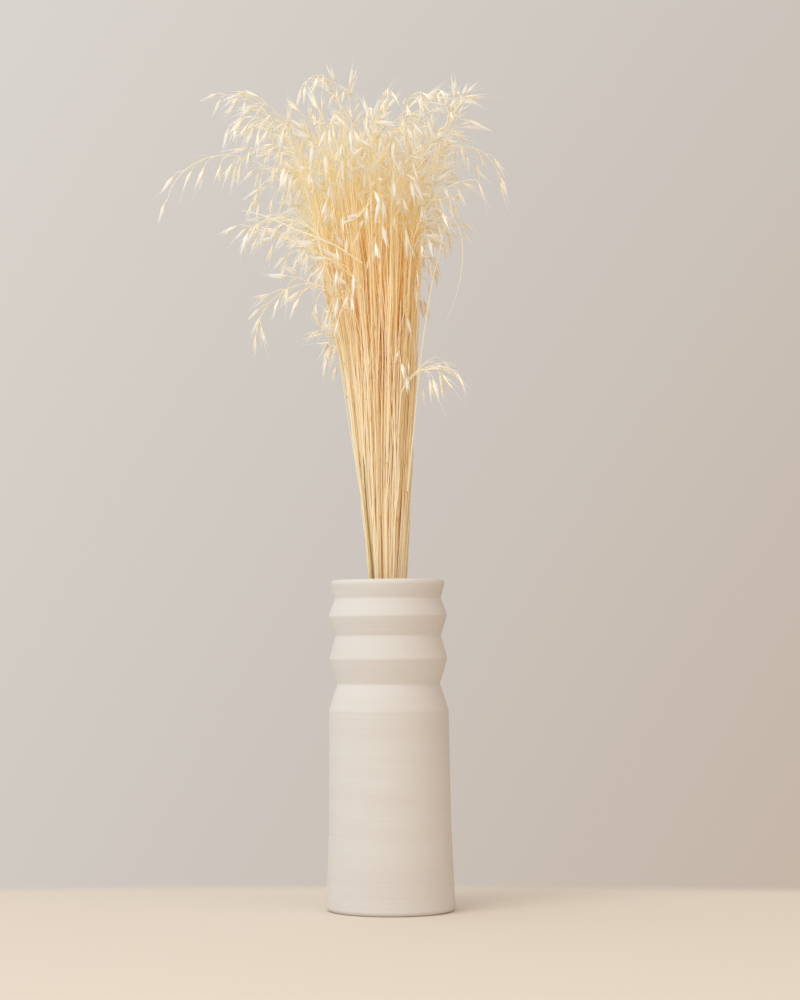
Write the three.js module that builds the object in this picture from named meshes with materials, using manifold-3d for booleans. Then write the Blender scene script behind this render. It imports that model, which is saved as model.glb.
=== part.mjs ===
// Dried oat bunch in a white ridged vase. Millimetres, +Z up, the vase stands on z = 0 at the origin.
// The front of the bunch faces -Y. Each stalk stands on the vase floor by itself.
import * as THREE from "three";
import Module from "manifold-3d";

const wasm = await Module();
wasm.setup();

// Vase: the outer outline as height and radius, from the foot to the lip.
const VASE_HEIGHT = 300;
const VASE_SIDES = 32;
const WALL = 5.5;
const FLOOR_HEIGHT = 7;
const FLOOR_RADIUS = 46;
const LEAN = 0.0107; // shift toward -X for each millimetre of height, as the thrown pot leans
const FOOT_RADIUS = 58.7;
const FOOT_ROUNDING = 4;
const BODY = [[38, 57.2], [80, 55.6]];
const RIDGES = [[181, 54.5], [205, 46.7], [228, 53.8], [249, 48], [267, 54], [283, 48.3], [296, 51.8]];
const FACET_BULGE = 0.7; // how far the face between a ridge and a groove swells
const LIP_RADIUS = 50.2;

// Bunch: each level has its height, the X of the bundle's middle and the radius that the stems fill.
const STALKS = 59;
const LEVELS = [
  { height: FLOOR_HEIGHT + 0.3, middle: 0, radius: 32 },
  { height: 215, middle: -1.6, radius: 17.5 },
  { height: 300, middle: -2.9, radius: 17.2 },
  { height: 370, middle: -4.6, radius: 23 },
  { height: 510, middle: -10.5, radius: 38 },
  { height: 580, middle: -17, radius: 49 },
  { height: 650, middle: -26, radius: 64 },
  { height: 720, middle: -34, radius: 84 },
];
const WAIST_HEIGHT = 215;
const TWIST = 0.0016; // radians that the bundle turns for each millimetre of height
const CROWDED_FROM = 3; // the level from which rachises and spikelets share the room with stems
const GOLDEN_ANGLE = Math.PI * (3 - Math.sqrt(5));
const DEGREE = Math.PI / 180;
const SEED = 4;

// Thickness, as the radius of a three-sided section.
const STEM_RADIUS = 1.5;
const RACHIS_RADIUS = 1.2;
const RACHIS_TIP_RADIUS = 0.6;
const PEDICEL_RADIUS = 0.42;
const ROOT_OFFSET = 0.3; // how far off the rachis's middle a pedicel starts, as a share of its radius

// Panicle: the rachis bends in even steps, and the solid follows every fourth one.
const STEPS = 20;
const STEPS_PER_CHORD = 4;
const SLOTS = 6;
const INNER_SLOTS = 5; // on the stalks in the middle
const INNER_STALKS = 16;
const GAP = 0.45;
const SPIKELET_ROOM = 3; // radius kept free around a spikelet

// Spikelet: two papery husks that part in a narrow V, as fractions of its length or in millimetres.
const BELLY_AT = 0.36;
const BELLY_HALF_WIDTH = 2.4;
const BELLY_HALF_THICKNESS = 1.2;
const TIP_SPREAD = 0.15;
const SHORT_TIP = 0.93;

// Stalks that reach out of the bunch or end low, by their place in it counted from the middle.
// Heights and lengths in millimetres, azimuth and end in degrees, end measured from straight up.
const WIDE_STALKS = {
  3: { top: 758, azimuth: 120, length: 160, end: 12, power: 2, droop: 0.1 },
  30: { top: 738, azimuth: 200, length: 135, end: 85, power: 2.2, droop: 0.7 },
  33: { top: 744, azimuth: 225, length: 135, end: 150, power: 3, droop: 1 },
  38: { base: 565, azimuth: 200, length: 125, end: 135, power: 1.4, droop: 0.8 },
  39: { base: 645, azimuth: -4, length: 130, end: 172, power: 1.5, droop: 0.7 },
  43: { top: 742, azimuth: 180, length: 122, end: 98, power: 2.6, droop: 0.9 },
  44: { top: 662, azimuth: -10, length: 110, end: 95, power: 1.6, droop: 1 },
  46: { base: 535, azimuth: 186, length: 132, end: 168, power: 0.8, droop: 0.5 },
  47: { top: 752, azimuth: 0, length: 140, end: 32, power: 1, droop: 0.6 },
  48: { base: 500, azimuth: 184, length: 42, end: 60, power: 0.7, droop: 0.4, reach: 0.6 },
  51: { top: 716, azimuth: 190, length: 118, end: 140, power: 2.4, droop: 1 },
  52: { top: 742, azimuth: -20, length: 130, end: 30, power: 1.2, droop: 0.6 },
  53: { base: 575, azimuth: 176, length: 135, end: 130, power: 1.4, droop: 0.8 },
  54: { base: 560, azimuth: 186, length: 128, end: 76, power: 0.25, droop: 0.5 },
  55: { top: 635, azimuth: 15, length: 90, end: 90, power: 1.6, droop: 1 },
  56: { base: 634, azimuth: 184, length: 172, end: 170, power: 1.25, droop: 0.9 },
  57: { base: 464, azimuth: -12, length: 66, end: 120, power: 0.9, droop: 1.2 },
};

const CERAMIC = new THREE.MeshStandardMaterial({ color: 0xded4ca, roughness: 0.85, metalness: 0 });
const STRAW = new THREE.MeshStandardMaterial({ color: 0xe6c48c, roughness: 0.7, metalness: 0 });

// Seeded draws
class Stream {
  constructor(seed) {
    this.state = seed >>> 0;
  }

  next() {
    this.state = (this.state + 0x6d2b79f5) >>> 0;
    let bits = Math.imul(this.state ^ (this.state >>> 15), this.state | 1);
    bits ^= bits + Math.imul(bits ^ (bits >>> 7), bits | 61);
    return ((bits ^ (bits >>> 14)) >>> 0) / 4294967296;
  }

  between(low, high) {
    return low + (high - low) * this.next();
  }
}

const mix = (a, b, t) => a + (b - a) * t;
const vector = (x, y, z) => new THREE.Vector3(x, y, z);
const between = (a, b, t) => a.clone().lerp(b, t);

// Vase
function facet(from, to) {
  const middle = [(from[0] + to[0]) / 2, (from[1] + to[1]) / 2 + FACET_BULGE];
  return [middle, to];
}

function vaseOutline() {
  const outline = [];
  for (const turn of [0, 45, 90]) {
    const height = FOOT_ROUNDING * (1 - Math.cos(turn * DEGREE));
    outline.push([height, FOOT_RADIUS - FOOT_ROUNDING * (1 - Math.sin(turn * DEGREE))]);
  }
  outline.push(...BODY, RIDGES[0]);
  for (let k = 1; k < RIDGES.length; k += 1) outline.push(...facet(RIDGES[k - 1], RIDGES[k]));
  return outline;
}

function vaseGeometry() {
  const outside = vaseOutline();
  const lip = [[VASE_HEIGHT, LIP_RADIUS], [VASE_HEIGHT - 1, LIP_RADIUS - 3]];
  const inside = [...BODY, ...RIDGES].map(([height, radius]) => [height, radius - WALL]).reverse();
  const floor = [[FLOOR_HEIGHT + 4, FLOOR_RADIUS + 4], [FLOOR_HEIGHT, FLOOR_RADIUS], [FLOOR_HEIGHT, 0]];
  const profile = [[0, 0], ...outside, ...lip, ...inside, ...floor];
  const lathe = new THREE.LatheGeometry(
    profile.map(([height, radius]) => new THREE.Vector2(radius, height)),
    VASE_SIDES,
  );
  lathe.rotateX(Math.PI / 2);
  return leaned(lathe);
}

// The foot stays level, and the lip tilts as much as the vase leans.
function leaned(geometry) {
  const places = geometry.attributes.position;
  const point = vector(0, 0, 0);
  for (let k = 0; k < places.count; k += 1) {
    point.fromBufferAttribute(places, k);
    const { x, y, z } = point;
    places.setXYZ(k, x - LEAN * z, y, z + (LEAN * x * z) / VASE_HEIGHT);
  }
  return geometry;
}

// Stems: every level holds the same sunflower pattern, scaled and turned, so that no two stems cross.
function stemPoint(place, level) {
  const { height, middle, radius } = LEVELS[level];
  const outward = Math.sqrt((place + 0.5) / STALKS) * radius;
  const angle = place * GOLDEN_ANGLE + TWIST * (height - WAIST_HEIGHT);
  return vector(middle + outward * Math.cos(angle), outward * Math.sin(angle), height);
}

function stemAt(place, height) {
  let level = 0;
  while (level < LEVELS.length - 2 && height > LEVELS[level + 1].height) level += 1;
  const low = stemPoint(place, level);
  const high = stemPoint(place, level + 1);
  const point = between(low, high, (height - low.z) / (high.z - low.z));
  return { point, direction: high.sub(low).normalize() };
}

// Rachis: the stem's last stretch turns from the stem's direction to its end direction.
function turned(from, to, t) {
  const angle = Math.acos(Math.max(-1, Math.min(1, from.dot(to))));
  if (angle < 1e-6) return from.clone();
  const start = from.clone().multiplyScalar(Math.sin((1 - t) * angle));
  return start.addScaledVector(to, Math.sin(t * angle)).divideScalar(Math.sin(angle));
}

function rachisDirections(start, azimuth, traits) {
  const end = vector(
    Math.sin(traits.end) * Math.cos(azimuth),
    Math.sin(traits.end) * Math.sin(azimuth),
    Math.cos(traits.end),
  );
  return Array.from({ length: STEPS }, (_, step) =>
    turned(start, end, ((step + 0.5) / STEPS) ** traits.power),
  );
}

function rachisLine(place, azimuth, traits) {
  const base = stemAt(place, traits.base);
  const line = [base.point];
  for (const direction of rachisDirections(base.direction, azimuth, traits)) {
    line.push(line.at(-1).clone().addScaledVector(direction, traits.length / STEPS));
  }
  return line;
}

const chordsOf = (line) => line.filter((_, step) => step % STEPS_PER_CHORD === 0);

function drawTraits(place, draw) {
  const outward = Math.sqrt((place + 0.5) / STALKS);
  const sideways = Math.cos(place * GOLDEN_ANGLE + 0.6) ** 2;
  const traits = {
    top: mix(744, 724, outward ** 2) - mix(50, 135, sideways) * draw.next() ** 2,
    length: mix(175, 125, outward ** 2) + draw.between(-20, 20),
    end: mix(25, 85, outward ** 1.5) + draw.between(-25, 35),
    power: draw.between(1.6, 3.2),
    spin: draw.between(0, 2 * Math.PI),
    droop: mix(0.15, 1, outward ** 2) * draw.between(0.3, 1.3),
    reach: 1,
    ...WIDE_STALKS[place],
  };
  traits.end *= DEGREE;
  traits.azimuth =
    "azimuth" in traits ? traits.azimuth * DEGREE : place * GOLDEN_ANGLE + TWIST * 400;
  if (!("base" in traits)) traits.base = baseUnderTop(place, traits);
  return traits;
}

function baseUnderTop(place, traits) {
  let base = 590;
  for (let round = 0; round < 2; round += 1) {
    let height = 0;
    let rise = 0;
    for (const direction of rachisDirections(stemAt(place, base).direction, traits.azimuth, traits)) {
      height += (direction.z * traits.length) / STEPS;
      rise = Math.max(rise, height);
    }
    base = traits.top - rise;
  }
  return base;
}

// Room: what is placed so far, as capsules, with the stalk that each belongs to.
const capsules = [];

function addCapsule(from, to, radius, owner) {
  capsules.push({ from, to, radius, owner });
}

function segmentDistance(a, b, c, d) {
  const along = b.clone().sub(a);
  const across = d.clone().sub(c);
  const apart = a.clone().sub(c);
  const aa = along.dot(along);
  const ee = across.dot(across);
  const bb = across.dot(along);
  const cc = apart.dot(along);
  const ff = across.dot(apart);
  const spread = aa * ee - bb * bb;
  const clamp = (value) => Math.max(0, Math.min(1, value));
  let s = spread > 1e-9 ? clamp((bb * ff - cc * ee) / spread) : 0;
  const t = clamp((bb * s + ff) / ee);
  s = clamp((bb * t - cc) / aa);
  return apart.addScaledVector(along, s).addScaledVector(across, -t).length();
}

function clearance(from, to, radius, skippedOwner) {
  let least = Infinity;
  for (const other of capsules) {
    if (other.owner === skippedOwner) continue;
    const distance = segmentDistance(from, to, other.from, other.to);
    least = Math.min(least, distance - radius - other.radius);
  }
  return least;
}

const rachisRadius = (chord, count) => mix(RACHIS_RADIUS, RACHIS_TIP_RADIUS, chord / count);

function placeRachis(stalk) {
  const { place, traits, draw } = stalk;
  const freedom = place in WIDE_STALKS ? 0.35 : 1.2;
  let best = { gap: -Infinity };
  for (let attempt = 0; attempt < 24 && best.gap <= GAP; attempt += 1) {
    const turn = attempt === 0 ? 0 : draw.between(-1, 1) * freedom;
    const line = rachisLine(place, traits.azimuth + turn, traits);
    const chords = chordsOf(line);
    const count = chords.length - 1;
    let gap = Infinity;
    for (let k = 0; k < count; k += 1) {
      gap = Math.min(gap, clearance(chords[k], chords[k + 1], rachisRadius(k, count), place));
    }
    if (gap > best.gap) best = { gap, line, chords, count };
  }
  stalk.line = best.line;
  stalk.chords = best.chords;
  for (let k = 0; k < best.count; k += 1) {
    addCapsule(best.chords[k], best.chords[k + 1], rachisRadius(k, best.count), place);
  }
}

const slotsOn = (stalk) => (stalk.place < INNER_STALKS ? INNER_SLOTS : SLOTS);

function drawSpikelet(stalk, slot, attempt) {
  const { line, traits, draw } = stalk;
  const u = mix(0.06, 0.98, slot / (slotsOn(stalk) - 1));
  const step = Math.floor(u * STEPS);
  const root = between(line[step], line[step + 1], u * STEPS - step);
  const along = line[step + 1].clone().sub(line[step]).normalize();
  const side = along.clone().cross(vector(0.3, 0.2, 0.93)).normalize();
  const over = side.clone().cross(along);
  const around = traits.spin + slot * GOLDEN_ANGLE + draw.between(-0.5, 0.5) * (1 + attempt);
  const lean = draw.between(8, 32) * DEGREE;
  const reach = mix(34, 5, u) * draw.between(0.7, 1.25) * traits.reach;
  const sag = draw.between(0.4, 1.5) * traits.droop;
  const size = draw.between(20, 27);
  const roll = draw.between(0, Math.PI);
  const outward = side.multiplyScalar(Math.cos(around)).addScaledVector(over, Math.sin(around));
  const pedicel = along.multiplyScalar(Math.cos(lean)).addScaledVector(outward, Math.sin(lean));
  pedicel.z -= 0.35 * sag;
  pedicel.normalize();
  const pointing = pedicel.clone();
  pointing.z -= 1.2 * sag;
  pointing.normalize();
  const neck = root.clone().addScaledVector(pedicel, reach);
  const tip = neck.clone().addScaledVector(pointing, size);
  return { u, neck, tip, pointing, size, roll, pedicelFrom: between(root, neck, 0.25) };
}

function placeSpikelets(stalk) {
  for (let slot = 0; slot < slotsOn(stalk); slot += 1) {
    for (let attempt = 0; attempt < 12; attempt += 1) {
      const spikelet = drawSpikelet(stalk, slot, attempt);
      const { pedicelFrom, neck, tip } = spikelet;
      const low = between(neck, tip, 0.12);
      const high = between(neck, tip, 0.92);
      const pedicelGap = clearance(pedicelFrom, neck, PEDICEL_RADIUS, stalk.place);
      if (pedicelGap <= GAP || clearance(low, high, SPIKELET_ROOM, -1) <= GAP) continue;
      stalk.spikelets.push(spikelet);
      addCapsule(pedicelFrom, neck, PEDICEL_RADIUS, stalk.place);
      addCapsule(low, high, SPIKELET_ROOM, stalk.place);
      break;
    }
  }
}

// Stalks: stems first, then rachises, the wide ones before the rest, then spikelets.
function growStalks() {
  const stalks = Array.from({ length: STALKS }, (_, place) => {
    const draw = new Stream(SEED * 1000 + place);
    return { place, draw, traits: drawTraits(place, draw), spikelets: [] };
  });
  for (const stalk of stalks) {
    const { place, traits } = stalk;
    const levels = LEVELS.map((_, level) => level).filter((k) => LEVELS[k].height < traits.base - 5);
    stalk.stem = levels.map((level) => stemPoint(place, level));
    const upper = [...stalk.stem.slice(CROWDED_FROM), stemAt(place, traits.base).point];
    for (let k = 1; k < upper.length; k += 1) addCapsule(upper[k - 1], upper[k], STEM_RADIUS, place);
  }
  const wideFirst = [...stalks].sort(
    (a, b) => Number(b.place in WIDE_STALKS) - Number(a.place in WIDE_STALKS) || a.place - b.place,
  );
  wideFirst.forEach(placeRachis);
  stalks.forEach(placeSpikelets);
  return stalks;
}

// Solids
function solidFrom(points, triangles) {
  const positions = points.flatMap((point) => point.toArray());
  return new wasm.Manifold(
    new wasm.Mesh({
      numProp: 3,
      vertProperties: new Float32Array(positions),
      triVerts: new Uint32Array(triangles.flat()),
    }),
  );
}

function band(low, high) {
  return [0, 1, 2].flatMap((k) => {
    const next = (k + 1) % 3;
    return [[low + k, low + next, high + k], [low + next, high + next, high + k]];
  });
}

function ring(center, across, over, radius) {
  return [0, 1, 2].map((k) => {
    const angle = (k * 2 * Math.PI) / 3;
    return center
      .clone()
      .addScaledVector(across, radius * Math.cos(angle))
      .addScaledVector(over, radius * Math.sin(angle));
  });
}

function stemSolid(stalk, origin) {
  const centers = [...stalk.stem, ...stalk.chords].map((point) => point.clone().sub(origin));
  const lastStem = stalk.stem.length;
  const points = [];
  const triangles = [[0, 2, 1]];
  const across = vector(1, 0, 0);
  centers.forEach((center, k) => {
    const before = centers[Math.max(k - 1, 0)];
    const after = centers[Math.min(k + 1, centers.length - 1)];
    const along = after.clone().sub(before).normalize();
    across.addScaledVector(along, -across.dot(along)).normalize();
    const over = along.clone().cross(across);
    const radius = k < lastStem ? STEM_RADIUS : rachisRadius(k - lastStem, centers.length - 1 - lastStem);
    points.push(...ring(center, across, over, radius));
    if (k > 0) triangles.push(...band(3 * k - 3, 3 * k));
  });
  const last = points.length;
  triangles.push([last - 3, last - 2, last - 1]);
  return solidFrom(points, triangles);
}

// A pedicel starts inside the rachis, on the side that it leaves from.
function pedicelRoot(stalk, u, neck) {
  const count = stalk.chords.length - 1;
  const chord = Math.min(Math.floor(u * count), count - 1);
  const from = stalk.chords[chord];
  const to = stalk.chords[chord + 1];
  const root = between(from, to, u * count - chord);
  const along = to.clone().sub(from).normalize();
  const outward = neck.clone().sub(root);
  outward.addScaledVector(along, -outward.dot(along)).normalize();
  return root.addScaledVector(outward, ROOT_OFFSET * rachisRadius(u, 1));
}

function spikeletSolid(stalk, spikelet, origin) {
  const { u, pointing, size, roll } = spikelet;
  const root = pedicelRoot(stalk, u, spikelet.neck).sub(origin);
  const neck = spikelet.neck.clone().sub(origin);
  const pedicel = neck.clone().sub(root).normalize();
  const level = pointing.clone().cross(vector(0.1, 0.3, 0.95)).normalize();
  const width = level.applyAxisAngle(pointing, roll);
  const depth = pointing.clone().cross(width);
  const back = new THREE.Quaternion().setFromUnitVectors(pointing, pedicel);
  const belly = neck.clone().addScaledVector(pointing, BELLY_AT * size);
  const tip = (side, reach) =>
    neck
      .clone()
      .addScaledVector(pointing, reach * size)
      .addScaledVector(width, side * TIP_SPREAD * size);
  const points = [
    ...ring(root, width.clone().applyQuaternion(back), depth.clone().applyQuaternion(back), PEDICEL_RADIUS),
    ...ring(neck, width, depth, PEDICEL_RADIUS),
    belly.clone().addScaledVector(width, BELLY_HALF_WIDTH),
    belly.clone().addScaledVector(depth, BELLY_HALF_THICKNESS),
    belly.clone().addScaledVector(width, -BELLY_HALF_WIDTH),
    belly.clone().addScaledVector(depth, -BELLY_HALF_THICKNESS),
    tip(1, 1),
    tip(-1, SHORT_TIP),
  ];
  const triangles = [
    [0, 2, 1],
    ...band(0, 3),
    [3, 7, 6], [3, 4, 7], [4, 8, 7], [4, 5, 8], [5, 9, 8], [5, 3, 9], [3, 6, 9],
    [9, 6, 10], [6, 7, 10], [7, 9, 10],
    [7, 8, 11], [8, 9, 11], [9, 7, 11],
  ];
  return solidFrom(points, triangles);
}

function geometryOf(solid) {
  const mesh = solid.getMesh();
  const geometry = new THREE.BufferGeometry();
  geometry.setAttribute("position", new THREE.BufferAttribute(mesh.vertProperties, 3));
  geometry.setIndex(new THREE.BufferAttribute(mesh.triVerts, 1));
  return geometry;
}

function stalkMesh(stalk) {
  const foot = stalk.stem[0];
  let solid = stemSolid(stalk, foot);
  for (const spikelet of stalk.spikelets) solid = solid.add(spikeletSolid(stalk, spikelet, foot));
  const mesh = new THREE.Mesh(geometryOf(solid), STRAW);
  mesh.name = `oat_stalk_${String(stalk.place + 1).padStart(2, "0")}`;
  mesh.position.copy(foot);
  return mesh;
}

const vase = new THREE.Mesh(vaseGeometry(), CERAMIC);
vase.name = "vase";

const bunchInVase = new THREE.Group();
bunchInVase.add(vase, ...growStalks().map(stalkMesh));

export default bunchInVase;
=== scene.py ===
"""Dried oat bunch in a white ridged vase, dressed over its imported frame."""
import math

import bmesh
import bpy
import numpy as np
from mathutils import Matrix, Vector


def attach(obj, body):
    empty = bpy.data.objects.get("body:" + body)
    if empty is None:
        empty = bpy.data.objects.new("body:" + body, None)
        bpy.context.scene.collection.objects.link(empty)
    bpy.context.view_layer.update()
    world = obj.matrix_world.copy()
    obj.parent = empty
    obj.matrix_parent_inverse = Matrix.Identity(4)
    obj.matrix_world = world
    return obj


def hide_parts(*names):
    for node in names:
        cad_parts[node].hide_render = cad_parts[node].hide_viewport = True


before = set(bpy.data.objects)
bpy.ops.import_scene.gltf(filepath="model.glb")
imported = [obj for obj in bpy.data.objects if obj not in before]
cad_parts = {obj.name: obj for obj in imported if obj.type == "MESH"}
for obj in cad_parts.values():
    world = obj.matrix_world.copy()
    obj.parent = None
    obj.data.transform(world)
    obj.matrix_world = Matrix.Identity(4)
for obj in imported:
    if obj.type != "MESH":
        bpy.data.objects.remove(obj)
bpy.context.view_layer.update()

# Lengths are in millimetres until a mesh is made, as in the part's source.
MILLIMETRE = 0.001
DEGREE = math.pi / 180
FULL_TURN = 2 * math.pi
PHASES = 6.28  # radians, about one turn

# Vase. BODY and RIDGES are points of its outer outline, as height and radius.
VASE_HEIGHT = 300.0
WALL = 5.5
FLOOR_HEIGHT = 7.0
FLOOR_RADIUS = 46.0
FLOOR_CORNER = 4.0  # height and width of the slope from the floor inside to the wall
LEAN = 0.0107  # toward -X, for each millimetre of height
FOOT_RADIUS = 58.7
FOOT_ROUNDING = 4.0
BODY = [(38.0, 57.2), (80.0, 55.6)]
RIDGES = [
    (181.0, 54.5), (205.0, 46.7), (228.0, 53.8), (249.0, 48.0),
    (267.0, 54.0), (283.0, 48.3), (296.0, 51.8),
]
FACET_BULGE = 0.2  # of the faces between ridges and grooves
LIP_INNER_RADIUS = 47.2
CENTRE_HOLE = 1.0  # radius of the innermost rings, which are filled last
UNDERSIDE_RADII = (CENTRE_HOLE, 20.0, 40.0)
VASE_SIDES = 160
VASE_STEP = 0.8  # between two rings of the outside
VASE_STEP_INSIDE = 3.0
FOOT_POINTS, FACET_POINTS, LIP_POINTS = 7, 16, 9
BODY_SOFTNESS = 14.0  # how far the corners of BODY are rounded
EDGE_SOFTNESS = 0.9  # how far the wet sponge rounded ridges and grooves
INSIDE_SOFTNESS = 3.0
THROWING_CLIMB = 2.6  # of a finger mark in one turn
# Depth of each wave in the marks, its pace along the height and its phase
THROWING_WAVES = [(0.02, 2.42, 0.0), (0.015, 1.31, 1.0), (0.05, 0.23, 0.6), (0.02, 0.57, 2.0)]
THROWING_CHANGE = 0.3  # share by which the marks' depth changes round the vase
THROWING_FADE = 9  # rings over which the marks set in

# Bunch: each level has its height, the X of the bundle's middle and the radius that the stems fill.
STALKS = 59
LEVELS = [
    (FLOOR_HEIGHT + 0.3, 0.0, 32.0),
    (215.0, -1.6, 17.5),
    (300.0, -2.9, 17.2),
    (370.0, -4.6, 23.0),
    (510.0, -10.5, 38.0),
    (580.0, -17.0, 49.0),
    (650.0, -26.0, 64.0),
    (720.0, -34.0, 84.0),
]
WAIST_HEIGHT = 215.0
TWIST = 0.0016  # radians for each millimetre above the waist
CROWN_ABOVE_WAIST = 400.0
CROWN_TURN = 0.6  # radians from the crown's lower sides to X
CROWDED_FROM = 3  # level above which a stem can be near a panicle
SHORTEST_STRETCH = 5.0  # of a stem, between its last level and its panicle
GOLDEN_ANGLE = math.pi * (3 - math.sqrt(5))
SEED = 4
STEM_RADIUS = 1.5
RACHIS_RADIUS = 1.2
RACHIS_TIP_RADIUS = 0.6
PEDICEL_RADIUS = 0.42
STEPS = 20  # of a rachis
STEPS_PER_CHORD = 4
BASE_GUESS = 590.0  # of a panicle
RACHIS_ATTEMPTS = 24
FREEDOM = 1.2  # radians that a rachis may turn for room
WIDE_FREEDOM = 0.35
SLOTS = 6  # for spikelets
INNER_SLOTS = 5
INNER_STALKS = 16
SLOTS_ALONG = (0.06, 0.98)  # first and last, as shares of the rachis
SLOT_REACH = (34, 5)  # pedicel at the rachis' root and tip
SPIKELET_LENGTH = (20, 27)
SPIKELET_ATTEMPTS = 12
SPIKELET_ROOM = 3.0  # radius
SPIKELET_CORE = (0.12, 0.92)  # shares of its length that keep clear of others
PEDICEL_FREE_FROM = 0.25  # share of its length
PEDICEL_SAG = 0.35
SPIKELET_SAG = 1.2
GAP = 0.45
MOST_CAPSULES = 6000
NEARLY_STRAIGHT = 1e-6
NEARLY_PARALLEL = 1e-9

# Stalks that reach out of the bunch or end low, by their place from the middle. Angles are in degrees.
WIDE_STALKS = {
    3: dict(top=758, azimuth=120, length=160, end=12, power=2, droop=0.1),
    30: dict(top=738, azimuth=200, length=135, end=85, power=2.2, droop=0.7),
    33: dict(top=744, azimuth=225, length=135, end=150, power=3, droop=1),
    38: dict(base=565, azimuth=200, length=125, end=135, power=1.4, droop=0.8),
    39: dict(base=645, azimuth=-4, length=130, end=172, power=1.5, droop=0.7),
    43: dict(top=742, azimuth=180, length=122, end=98, power=2.6, droop=0.9),
    44: dict(top=662, azimuth=-10, length=110, end=95, power=1.6, droop=1),
    46: dict(base=535, azimuth=186, length=132, end=168, power=0.8, droop=0.5),
    47: dict(top=752, azimuth=0, length=140, end=32, power=1, droop=0.6),
    48: dict(base=500, azimuth=184, length=42, end=60, power=0.7, droop=0.4, reach=0.6),
    51: dict(top=716, azimuth=190, length=118, end=140, power=2.4, droop=1),
    52: dict(top=742, azimuth=-20, length=130, end=30, power=1.2, droop=0.6),
    53: dict(base=575, azimuth=176, length=135, end=130, power=1.4, droop=0.8),
    54: dict(base=560, azimuth=186, length=128, end=76, power=0.25, droop=0.5),
    55: dict(top=635, azimuth=15, length=90, end=90, power=1.6, droop=1),
    56: dict(base=634, azimuth=184, length=172, end=170, power=1.25, droop=0.9),
    57: dict(base=464, azimuth=-12, length=66, end=120, power=0.9, droop=1.2),
}

# Places in a stalk's list of materials
STRAW, HUSK, KERNEL, OLIVE = range(4)

# Fine stalks
STRAW_RADIUS = 0.98  # at the foot
STRAW_TOP_RADIUS = 0.62
RACHIS_END_RADIUS = 0.32
STRAW_SIDES = 8
STRAW_STEP = 21.0  # between two rings of a stem
ROUNDED_OVER = 5  # sides; a thinner strand is too fine to show its flats
LOWER_JOINTS = [(120, 190), (325, 470)]  # heights between which each one lies
UPPER_JOINT_FROM = 480.0
UPPER_JOINT_CLEAR = 40.0  # under the panicle
TALL_STEM = 560.0  # a panicle that starts above this height has the upper joint under it
SHEATHED = 1.12  # thickness of a straw inside its leaf sheath, against the bare straw's
SHRED_POINTS = 6
BRANCH_RADII = (0.425, 0.272)  # at the rachis and at the spikelet
BRANCH_POINTS, BRANCH_SIDES = 6, 4
TWIG_RADII = (0.3, 0.12)
BARE_TWIGS = 5
SIDE_SPIKELETS = 3  # beside each one that the solid has
SIDE_REACH = (30, 7)
SIDE_LENGTH = (18, 26)
SIDE_ATTEMPTS = 4
SIDE_ROOM = 1.2  # radius
THIN_STRAWS = (0.34, 0.68)  # places between a stalk and the next one of the sunflower pattern
THIN_POINTS, THIN_SIDES = 26, 5
LOOSE_FIBRES = 28
FIBRE_POINTS, FIBRE_SIDES = 11, 3
FIBRES_FROM, FIBRES_UP_TO = 290.0, 705.0
FIBRE_SEED = 70
FINE_SEED = 90
NEIGHBOURS = (-21, -13, -8, 8, 13, 21)  # steps in the sunflower pattern to the stems beside one
# Long broken strands that stand off the bunch: their stalk, radius, look and points from their root.
STRAY_STRANDS = [
    (46, 0.9, OLIVE, [
        (-14, -9, 215), (-16.5, -10.5, 300), (-20.5, -13.5, 345), (-24, -16.5, 392), (-26, -15, 430)]),
    (57, 0.75, STRAW, [
        (-26, -44, 585), (-52, -56, 600), (-84, -62, 612), (-112, -64, 624), (-134, -62, 630)]),
    (49, 0.62, STRAW, [
        (15, -20, 380), (21, -30, 440), (27, -38, 500), (36, -46, 560), (45, -50, 600), (50, -50, 628)]),
    (45, 0.5, STRAW, [
        (30, -20, 622), (50, -28, 630), (62, -32, 618), (65, -34, 590), (60, -34, 560), (51, -32, 535)]),
    (36, 0.55, STRAW, [(-48, -30, 560), (-62, -40, 590), (-66, -44, 620), (-60, -44, 650)]),
]
STRAY_SIDES = 4
STRAY_TIP_RADIUS = 0.2

# Spikelet forms, for a spikelet one unit long
SPIKELET_FORMS = 16
HUSK_ROWS, HUSK_COLUMNS = 8, 5
HUSK_HALF_WIDTH = (0.066, 0.094)
HUSK_HOLLOW = 0.04
HUSK_FULLEST = 0.33  # share of its length
HUSK_END = 0.04  # width of its ends, against its fullest
HUSK_WRAP = 1.3  # radians that it curves round the kernel, to each side
HUSK_GRAIN = 2.3  # centimetres of grain along it
# Place along the kernel and its thickness there
KERNEL_OUTLINE = [(0.0, 0.35), (0.12, 0.75), (0.3, 1.0), (0.55, 0.9), (0.8, 0.55), (0.95, 0.22), (1.0, 0.05)]
KERNEL_SIDES = 6
KERNEL_FLATNESS = 0.75
KERNEL_FROM = 0.04
KERNEL_GRAIN = 2.0
AWN_RADII = (0.0075, 0.0025)
AWN_POINTS, AWN_SIDES = 5, 3
AWN_FROM = 0.35
TIP_MARK = 0.7  # where the colour of a husk's root has ended

# Painted glow: the middle of the bunch is painted a warmer, more orange colour in place of light passed on
# between the straws. The outside keeps the straw's own pale colour.
PAINTED_GLOW_TOP = 755.0  # height where all of the bunch is as pale as its outside
PAINTED_GLOW_FADE = 130.0
PAINTED_GLOW_CORE = 1.25  # over 1, so that a core is as warm as the middle
PAINTED_GLOW_POWER = 1.4

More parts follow.
